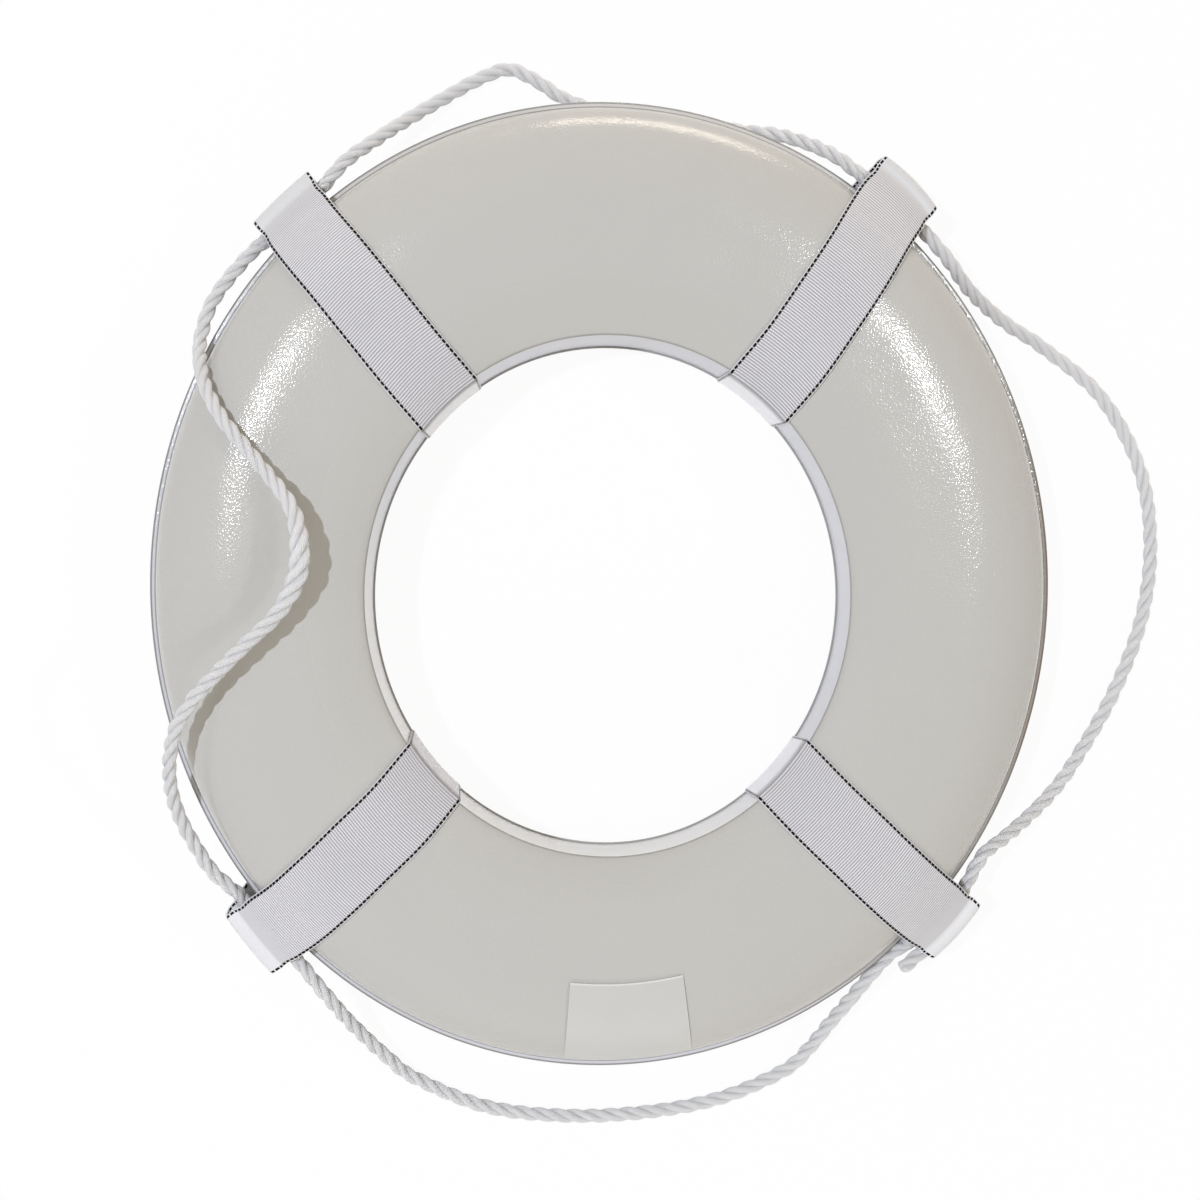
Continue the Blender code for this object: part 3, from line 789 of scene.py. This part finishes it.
COVER_MATERIAL, tree, place = new_material("grained_vinyl")
tone = mottled(place, 11, (0.527, 0.518, 0.49), (0.54, 0.529, 0.498))
radius, _ = uv_parts(tree, "round_ring")
lip = map_range(radius, BORE_R + 0.0011, BORE_R + 0.0004)
tone = blend(product(lip, 0.5), tone, (0.24, 0.23, 0.22))
gloss = map_range(use_group(MOTTLE, place, 26), 0, 1, 0.12, 0.2)
duller = map_range(radius, BORE_R + DULL_FROM, BORE_R + DULL_TO, soft=True)
creases = math_node("ADD", *(fine_creases(place, *patch) for patch in CREASES))
height = multiply_add(creases, 2.5, use_group(PEBBLE_GRAIN, place, 720))
feed_shader(tree, {
    "Base Color": rim_lines(tone, place, radius),
    "Roughness": multiply_add(duller, 0.22, gloss),
    "Specular IOR Level": map_range(duller, 0, 1, 0.45, 0.12),
    "Normal": bump(height, GRAIN_DEPTH),
})
settle(front, "vinyl_cover_front", COVER_MATERIAL)

# %% The back cover and the bore's lining
back = ring_sheet("back_cover", below(section), lambda place: Vector((0, 0, -1)))
settle(back, "vinyl_cover_back", COVER_MATERIAL)

LINING_H = EDGE_H - LIP_H - GAP
LINING_STEPS = 24
lining_section = [
    Vector((BORE_R, -LINING_H + 2 * LINING_H * step / LINING_STEPS)) for step in range(LINING_STEPS + 1)
]
lining = ring_sheet("bore_lining", lining_section, lambda place: Vector((-place.x, -place.y, 0)))

bore, tree, place = new_material("smooth_vinyl")
tone = mottled(place, 14, (0.6, 0.605, 0.66), (0.65, 0.655, 0.7))
# Painted light: the lining is lighter on the side of the ring towards azimuth 240
tone = blend(turned_to(place, 240, -0.1, 0.9), tone, (0.9, 0.89, 0.87))
grain = bump(use_group(PEBBLE_GRAIN, place, 420), 0.0001, 0.6)
feed_shader(tree, {"Base Color": tone, "Roughness": 0.3, "Normal": grain})
settle(lining, "vinyl_bore_band", bore)

# %% [markdown]
# Foam fills the covers and never shows, but it still gets its own finish: closed-cell
# foam is matt, with fine round cells.

# %% Foam
foam, tree, place = new_material("closed_cell_foam")
grain = bump(use_group(PEBBLE_GRAIN, place, 900), 0.0003, 0.8)
feed_shader(tree, {"Base Color": (0.83, 0.81, 0.74), "Roughness": 0.9, "Normal": grain})
for name in ("foam_core_front", "foam_core_middle", "foam_core_back"):
    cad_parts[name].data.materials.clear()
    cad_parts[name].data.materials.append(foam)
print("foam cores keep their solids")

# %% [markdown]
# Each band of webbing, or becket, goes once round the ring's section: hidden end on the
# back, through the bore, over the front face, out past the rim round the grab line, and
# back to its sewn end. The strip is drawn as a flat grid and wrapped along that path. Its
# cross ribs are real, so they catch the light and break the outline as woven ribs do.

# %% The path of a band
CREASE_R = WELT_R + 0.013
LAP_START_R = WELT_R - 0.019
LAP_END_R = WELT_R - 0.043
LAP_LIFT = WEB_GAP + WEB_T + SEAM_GAP
NOSE_RAD = ROPE_RAD + GAP
NOSE_R = OUTER_ROPE_R + 0.0001
LOOP_END_R = NOSE_R + NOSE_RAD + WEB_T
STRAY_DEPTH = 0.012
NOSE_STEPS = 12

# How much further each loop reaches: at its corners, more on one side, more in its middle
LOOPS = {
    "top_left": (0.001, 0.0, 0.0),
    "top_right": (0.0057, 0.0015, 0.0014),
    "bottom_left": (0.0047, 0.0012, 0.0),
    "bottom_right": (0.003, 0.0007, 0.001),
}
# How far each band sways sideways over the front, at even steps from the bore to its loop's end
SWAYS = {
    "top_left": (0.0003, 0.0014, 0.0014, 0.0014, 0.0018, 0),
    "top_right": (0.0013, -0.0018, -0.002, -0.0014, 0.0003, 0),
    "bottom_left": (-0.0004, 0.0041, 0.0053, 0.0062, 0.0056, 0),
    "bottom_right": (-0.0011, -0.0029, -0.0035, -0.0039, -0.0031, 0),
}
# The width of each loop's end, as a share of the webbing's
LOOP_ENDS = {"top_left": 1.0, "top_right": 0.97, "bottom_left": 0.955, "bottom_right": 0.925}


def edge_normal(first, second):
    run = (second - first).normalized()
    return Vector((-run.y, run.x))


def offset(points, distance):
    """Move a section outwards by a distance."""
    moved = []
    for index, point in enumerate(points):
        normals = []
        if index > 0:
            normals.append(edge_normal(points[index - 1], point))
        if index < len(points) - 1:
            normals.append(edge_normal(point, points[index + 1]))
        middle = sum(normals, Vector((0, 0))).normalized()
        moved.append(point + middle * distance / middle.dot(normals[0]))
    return moved


def leaving_index(outline, crease):
    """Where a tight band leaves the face on its way to a crease beyond the rim."""
    side = copysign(1, crease.y)
    slopes = [side * (point.y - crease.y) / (crease.x - point.x) for point in outline]
    return slopes.index(max(slopes))


def band_path():
    """The webbing's inner face as (radius, height), and the radii where it leaves the ring."""
    dome = dome_section(20, 40)
    mirrored = below(dome)
    clear = offset(mirrored + dome, WEB_GAP)
    half = len(clear) // 2
    crease = Vector((CREASE_R, NOSE_RAD))
    back_crease = Vector((CREASE_R, -NOSE_RAD))
    back_run = [point for point in clear[:half] if point.x <= LAP_START_R]
    front_run = clear[half:][: leaving_index(clear[half:], crease) + 1]
    nose = []
    for step in range(NOSE_STEPS + 1):
        turn = pi / 2 - pi * step / NOSE_STEPS
        nose.append(Vector((NOSE_R + NOSE_RAD * cos(turn), NOSE_RAD * sin(turn))))
    over = offset(mirrored, LAP_LIFT)
    lap = [point for point in over[leaving_index(over, back_crease):] if point.x >= LAP_END_R]
    return back_run + front_run + [crease] + nose + [back_crease] + lap, front_run[-1].x, lap[0].x


def eased(points, times):
    """Round a line's corners a little, with its ends kept."""
    for _ in range(times):
        inner = [(a + 2 * b + c) / 4 for a, b, c in zip(points, points[1:], points[2:])]
        points = [points[0]] + inner + [points[-1]]
    return points


RIB_PITCH = 0.00175
BAND_STEP = RIB_PITCH / 4
whole_path, FRONT_LEAVE_R, BACK_LEAVE_R = band_path()
BAND_LINE, band_total = resample(whole_path, BAND_STEP)
BAND_LINE = eased(BAND_LINE, 6)
LOOP_STATION = max(range(len(BAND_LINE)), key=lambda station: BAND_LINE[station].x)
print("band length:", round(band_total, 4), "m,", len(BAND_LINE), "stations")


# %% Where a band goes sideways and how far out
PINCH = 0.045
PINCH_REACH = 0.005


def even_steps(values, share):
    """A smooth value between evenly spaced ones, at a share of the way along them."""
    along = held(share) * (len(values) - 1)
    index = min(int(along), len(values) - 2)
    return curve_at(*with_ends(values)[index:index + 4], along - index)


def drift(name, point):
    """How far a band lies sideways of its own line, at a point of its section."""
    sway = even_steps(SWAYS[name], (point.x - BORE_R) / (LOOP_END_R - BORE_R))
    if point.x < CROWN_IN:
        front_share = held(0.5 + point.y / (2 * EDGE_H))
        back_share = 1 - front_share
    else:
        front_share = 1 if point.y >= 0 else 0
        back_share = held(-point.y / STRAY_DEPTH)
    return front_share * sway + back_share * BECKETS[name][1]


def stretch_out(name, point, side):
    """How much further out a point of the loop lies than the plain path."""
    reach, skew, bulge = LOOPS[name]
    leave = FRONT_LEAVE_R if point.y >= 0 else BACK_LEAVE_R
    part = held((point.x - leave) / (CREASE_R - leave))
    return part * (reach + skew * side + bulge * (1 - side ** 2))


def width_share(name, radius):
    """The band's width at a radius: pinched inside the crease, eased at the loop's end."""
    pinch = PINCH * exp(-(((radius - CREASE_R + PINCH_REACH) / PINCH_REACH) ** 2))
    at_end = held((radius - CREASE_R) / (LOOP_END_R - CREASE_R))
    return 1 - pinch - at_end * (1 - LOOP_ENDS[name])


# %% Wrap a band
WEB_COLUMNS = 26
RIB_H = 0.00028
RIB_WAVE = (0, 0.8, 1, 0.8)
# Distances from the loop's end: plain up to the first, fully ribbed from the second
PLAIN_TO, RIBBED_FROM = 0.016, 0.034


def rib_lift(station, share):
    """How far a rib stands out at a station: none by the loop's end or in the selvedge."""
    side = abs(share)
    woven = 1 - held((side - 0.93) / 0.05)
    from_loop = abs(station - LOOP_STATION) * BAND_STEP
    ribbed = held((from_loop - PLAIN_TO) / (RIBBED_FROM - PLAIN_TO))
    return RIB_H * RIB_WAVE[station % 4] * woven * ribbed - 0.0004 * max(side - 0.96, 0) / 0.04


def grid_piece(name, stations, columns):
    """A flat grid, with each vertex's station along it and its place across, from -1 to 1."""
    deselect()
    bpy.ops.mesh.primitive_grid_add(x_subdivisions=stations, y_subdivisions=columns, size=1)
    piece = named(name)
    return piece, [(round((v.co.x + 0.5) * stations), 2 * v.co.y) for v in piece.data.vertices]


def loop_uv(station):
    """The distance from the loop's end, and how far up the bore's wall the strip is."""
    point = BAND_LINE[station]
    wall = 0.5 - point.y / (2 * EDGE_H) if point.x < BORE_R else 0
    return abs(station - LOOP_STATION) * BAND_STEP, wall


def make_band(becket):
    """One ribbed band of webbing, with its UV maps."""
    degrees = BECKETS[becket][0]
    stations = len(BAND_LINE) - 1
    band, slots = grid_piece("webbing_" + becket, stations, WEB_COLUMNS)
    add_uv(band, "along_web", [(station * BAND_STEP, share) for station, share in slots])
    add_uv(band, "from_loop", [loop_uv(station) for station, _ in slots])
    for vertex, (station, share) in zip(band.data.vertices, slots):
        point = BAND_LINE[station]
        normal = edge_normal(BAND_LINE[max(station - 1, 0)], BAND_LINE[min(station + 1, stations)])
        lifted = point + normal * (WEB_T - RIB_H + rib_lift(station, share))
        sideways = share * width_share(becket, point.x) * WEB_WIDTH / 2 + drift(becket, point)
        vertex.co = beside(lifted.x + stretch_out(becket, point, share), degrees, sideways, lifted.y)
    face_outwards(band, lambda place: Vector((0, 0, -1)))
    thicken(band, WEB_T - RIB_H, 60)
    return band


# %% [markdown]
# The webbing is white polypropylene with a black tracer yarn by each edge, which goes
# over and under and so shows as dashes. Shade is painted in the troughs between its ribs.
# Near the loops it is pulled flat and glossy, and its colour there holds painted light:
# lighter on the flat end than on the slope, and darker on the two upper bands. Low on the
# bore's wall it is painted lighter, as light from the floor. The pattern follows the strip,
# so it reads the strip's own UV maps: metres along and -1 to 1 across in one, and the
# distance from the loop's end and the depth down the bore's wall in the other.


# %% Webbing material
LIGHT_YARN = (0.81, 0.8, 0.82)
# The shade painted in the troughs between the ribs
RIB_TROUGH_SHADE = (0.34, 0.33, 0.35)
YARNS_ACROSS = 17
# How much further from the loop's end the two upper bands stay unribbed
UPPER_PLAIN = 0.008

webbing, tree, place = new_material("white_webbing")
along, across = uv_parts(tree, "along_web")
from_loop, wall = uv_parts(tree, "from_loop")
rib = math_node("DIVIDE", along, RIB_PITCH)
wave = math_node("SINE", product(rib, tau))
upper = map_range(parts(place)[1], -0.02, 0.02, 0.0, UPPER_PLAIN)
shifted = math_node("ADD", from_loop, upper)
woven = map_range(shifted, PLAIN_TO, RIBBED_FROM, soft=True)
odd = product(math_node("FLOOR", rib), pi)
yarns = math_node("SINE", multiply_add(across, tau * YARNS_ACROSS, odd))
dirt = use_group(MOTTLE, place, 30)
light = blend(dirt, (0.75, 0.74, 0.765), LIGHT_YARN)
# Painted shade in the troughs between the ribs
shade = multiply_add(yarns, 0.14, map_range(wave, -0.75, 0.75, 1.0, 0.0))
ribbed = blend(shade, light, RIB_TROUGH_SHADE)
# Painted light at the loop's end: the flat end lighter than the slope before it, and darker on the two
# upper bands
strip = map_range(from_loop, 0.014, 0.012, soft=True)
upper_band_shade = map_range(upper, 0, UPPER_PLAIN)
flat = blend(upper_band_shade, (0.8, 0.8, 0.82), (0.68, 0.68, 0.69))
plain = blend(strip, (0.61, 0.605, 0.62), flat)
plain = blend(product(dirt, 0.25), plain, (0.68, 0.68, 0.69))
tone = blend(woven, plain, ribbed)
# Painted light: lighter low on the bore's wall, as light from the floor
tone = blend(map_range(wall, 0.02, 0.3), tone, (0.95, 0.95, 0.97))
edge = math_node("ABSOLUTE", across)
tone = blend(map_range(edge, 0.98, 0.99), tone, (0.8, 0.79, 0.8))
dash_phase = math_node("FRACT", math_node("DIVIDE", along, RIB_PITCH * 2))
dash = math_node("LESS_THAN", dash_phase, 0.74)
tracer = product(band_mask(edge, 0.915, 0.98, 0.004), dash)
height = multiply_add(yarns, 0.5, product(wave, woven))
feed_shader(tree, {
    "Base Color": blend(tracer, tone, (0.004, 0.004, 0.005)),
    "Roughness": map_range(woven, 0, 1, 0.42, 0.6),
    "Specular IOR Level": map_range(tracer, 0, 1, 0.35, 0.1),
    "Normal": bump(height, 0.0001, 0.5),
})
for becket in BECKETS:
    settle(make_band(becket), "becket_" + becket, webbing)

# %% [markdown]
# On the back each band's end is sewn down over its start, in four rows of stitches. One
# stitch is modelled from a small ball, pulled long and flattened, and then copied along
# the rows. Each band's stitches are joined into one piece.

# %% Sewn rows on the back
SEWN_INSET = 0.0035
SEWN_WIDTH = 0.04
SEWN_ROWS = 4
STITCHES = 11
THREAD_DIA = 0.0008
STITCH_FILL = 0.86


def lap_point(radius, lift):
    """A point over the back face, lifted square off it."""
    face = below(dome_section(16, 20))
    for first, second in zip(face, face[1:]):
        if second.x <= radius <= first.x:
            on_face = first.lerp(second, (first.x - radius) / (first.x - second.x))
            return on_face + edge_normal(first, second) * lift
    raise ValueError("the radius is off the face")


def one_stitch():
    """A single stitch along X: a few faces, because it is repeated over a hundred times."""
    deselect()
    bpy.ops.mesh.primitive_uv_sphere_add(segments=8, ring_count=6, radius=1)
    stitch = bpy.context.active_object
    long_half = SEWN_WIDTH / STITCHES * STITCH_FILL / 2
    edit_all(stitch, bpy.ops.transform.resize, value=(long_half, THREAD_DIA / 2, THREAD_DIA / 2))
    return stitch


def sew(becket, pattern):
    """Copy the stitch along the rows of one band, and join the copies."""
    degrees = BECKETS[becket][0]
    copies = []
    low, high = LAP_END_R + SEWN_INSET, LAP_START_R - SEWN_INSET
    half = SEWN_WIDTH / STITCHES / 2
    for row in range(SEWN_ROWS):
        radius = low + (high - low) * row / (SEWN_ROWS - 1)
        point = lap_point(radius, LAP_LIFT + WEB_T + SEAM_GAP + THREAD_DIA / 2)
        for count in range(STITCHES):
            middle = ((count + 0.5) / STITCHES - 0.5) * SEWN_WIDTH + drift(becket, point)
            first = beside(point.x, degrees, middle - half, point.y)
            second = beside(point.x, degrees, middle + half, point.y)
            run = (second - first).normalized()
            side = Vector((0, 0, 1)).cross(run).normalized()
            place = Matrix((run, side, run.cross(side))).transposed().to_4x4()
            place.translation = (first + second) / 2
            copy = pattern.copy()
            copy.data = pattern.data.copy()
            copy.data.transform(place)
            scene.collection.objects.link(copy)
            copies.append(copy)
    make_active(copies[0])
    for copy in copies:
        copy.select_set(True)
    bpy.ops.object.join()
    sewn = named("stitches_" + becket)
    smooth_by_angle(sewn, 80)
    return sewn


thread, tree, place = new_material("bonded_thread")
tone = mottled(place, 300, (0.7, 0.7, 0.72), (0.86, 0.86, 0.88))
grain = bump(use_group(MOTTLE, place, 1800), 0.0001, 0.8)
feed_shader(tree, {"Base Color": tone, "Roughness": 0.5, "Normal": grain})
pattern = one_stitch()
for becket in BECKETS:
    settle(sew(becket, pattern), "stitching_" + becket, thread)
bpy.data.objects.remove(pattern)

# %% [markdown]
# Such a ring carries a label patch on its front. Here it is left blank: a thin smooth sheet
# that follows the dome and flares towards the rim. A highlight is painted along its thin
# raised edge.

# %% Label patch, left blank
PATCH_OUT_R = WELT_R - 0.0065
PATCH_IN_R = PATCH_OUT_R - 0.0571
PATCH_T = 0.0005
PATCH_MIDDLE = 273.4
PATCH_HALF_IN = 0.0372
PATCH_HALF_OUT = 0.043


def make_patch():
    """A thin blank patch that follows the dome, flaring towards the rim."""
    line = [point for point in offset(dome_section(20, 60), GAP) if PATCH_IN_R <= point.x <= PATCH_OUT_R]
    line, _ = resample(line, 0.0012)
    stations = len(line) - 1
    patch, slots = grid_piece("blank_patch", stations, 60)
    add_uv(patch, "on_patch", [(station / stations, share) for station, share in slots])
    for vertex, (station, share) in zip(patch.data.vertices, slots):
        point = line[station]
        reach = (point.x - PATCH_IN_R) / (PATCH_OUT_R - PATCH_IN_R)
        half = PATCH_HALF_IN + (PATCH_HALF_OUT - PATCH_HALF_IN) * reach
        vertex.co = beside(point.x, PATCH_MIDDLE, share * half, point.y + PATCH_T)
    face_outwards(patch, lambda place: Vector((0, 0, 1)))
    thicken(patch, PATCH_T)
    return patch


vinyl, tree, place = new_material("blank_patch_vinyl")
tone = mottled(place, 25, (0.57, 0.565, 0.54), (0.6, 0.595, 0.57))
inwards, across = uv_parts(tree, "on_patch")
# Painted highlight along the patch's inner edge, towards the bore, and fainter along its sides
top = map_range(inwards, 0.022, 0.008)
side_edge_highlight = map_range(math_node("ABSOLUTE", across), 0.985, 0.996)
tone = blend(product(side_edge_highlight, 0.5), tone, (0.66, 0.65, 0.63))
tone = blend(product(top, 0.8), tone, (0.8, 0.79, 0.77))
grain = bump(use_group(PEBBLE_GRAIN, place, 620), 0.00004, 0.8)
feed_shader(tree, {"Base Color": tone, "Roughness": 0.3, "Normal": grain})
settle(make_patch(), "label_patch", vinyl)

# %% [markdown]
# The photograph has a pure white ground. One small lamp on the left gives about half of the
# light and gives the loose rope its crisp shadow. A dim one on the right gives the faint
# second shadow, and the rest is soft and warm. Two lamps only mirror in the dome, as
# sparkling streaks: shadow and shine can then each be put where the photograph has them.

# %% Floor and world
deselect()
bpy.ops.mesh.primitive_plane_add(size=14, location=(0, 0, -0.0006))
floor = named("floor")


def seen_directly(tree):
    """One for what the camera sees, straight or by mirror or glass, and none for light."""
    path = tree.nodes.new("ShaderNodeLightPath").outputs
    seen = math_node("MAXIMUM", path["Is Camera Ray"], path["Is Glossy Ray"])
    return math_node("MAXIMUM", seen, path["Is Transmission Ray"])


white = bpy.data.materials.new("white_floor")
white.use_nodes = True
tree = white.node_tree
feed_shader(tree, {"Base Color": (0.9, 0.9, 0.9), "Roughness": 0.8})
glow = add_node("Emission", {"Strength": 1.0}, tree=tree)
matt = tree.nodes["Principled BSDF"].outputs[0]
mixed = add_node("MixShader", {0: product(seen_directly(tree), 0.94), 1: matt, 2: glow})
plug(tree.nodes["Material Output"].inputs[0], mixed)
floor.data.materials.append(white)

AMBIENT = (0.47, 0.425, 0.36)
world = bpy.data.worlds.new("soft_warm_room")
world.use_nodes = True
tree = world.node_tree
sky = blend(seen_directly(tree), AMBIENT, (1.0, 1.0, 1.0))
plug(tree.nodes["Background"].inputs[0], sky)
scene.world = world
print("the room gives", AMBIENT, "of the light")


# %% Lamps
def lamp(name, at, aim, size, power, colour=(1, 1, 1), hidden_from=()):
    """A rectangular lamp aimed at a point, unseen by the camera."""
    data = bpy.data.lights.new(name, "AREA")
    data.shape = "RECTANGLE"
    data.size, data.size_y = size
    data.energy = power
    data.color = colour
    item = bpy.data.objects.new(name, data)
    scene.collection.objects.link(item)
    item.location = at
    item.rotation_euler = (Vector(aim) - Vector(at)).to_track_quat("-Z", "Y").to_euler()
    for rays in ("camera", *hidden_from):
        setattr(item, "visible_" + rays, False)


# Three lamps light the ring but don't mirror in it, two only mirror in it, one does both
LIGHT, SHINE = ("glossy",), ("diffuse",)
lamp("key_left", (-1.81, 0.35, 4.5), (-0.1, 0, 0), (0.12, 0.12), 130, (0.79, 0.86, 1.0), LIGHT)
lamp("second_right", (2.94, -0.33, 3.0), (-0.2, 0, 0), (0.35, 0.35), 20, hidden_from=LIGHT)
lamp("fill_below", (0, -3.2, 1.6), (0, -0.1, 0), (2.4, 1.0), 20, (0.94, 0.97, 1.0), LIGHT)
lamp("shine_left", (-2.02, 1.13, 4.5), (-0.1, 0, 0), (0.2, 0.2), 58, (0.92, 0.97, 1.0), SHINE)
lamp("shine_right", (1.8, 1.12, 4.5), (0.2, 0.1, 0), (0.26, 0.26), 58, (0.95, 0.98, 1.0), SHINE)
lamp("low_card", (0.35, 2.4, 0.1), (0, 0.25, 0.04), (1.3, 0.4), 18, (1.0, 0.89, 0.74))
scene.view_settings.view_transform = "Standard"
print("lamps set")
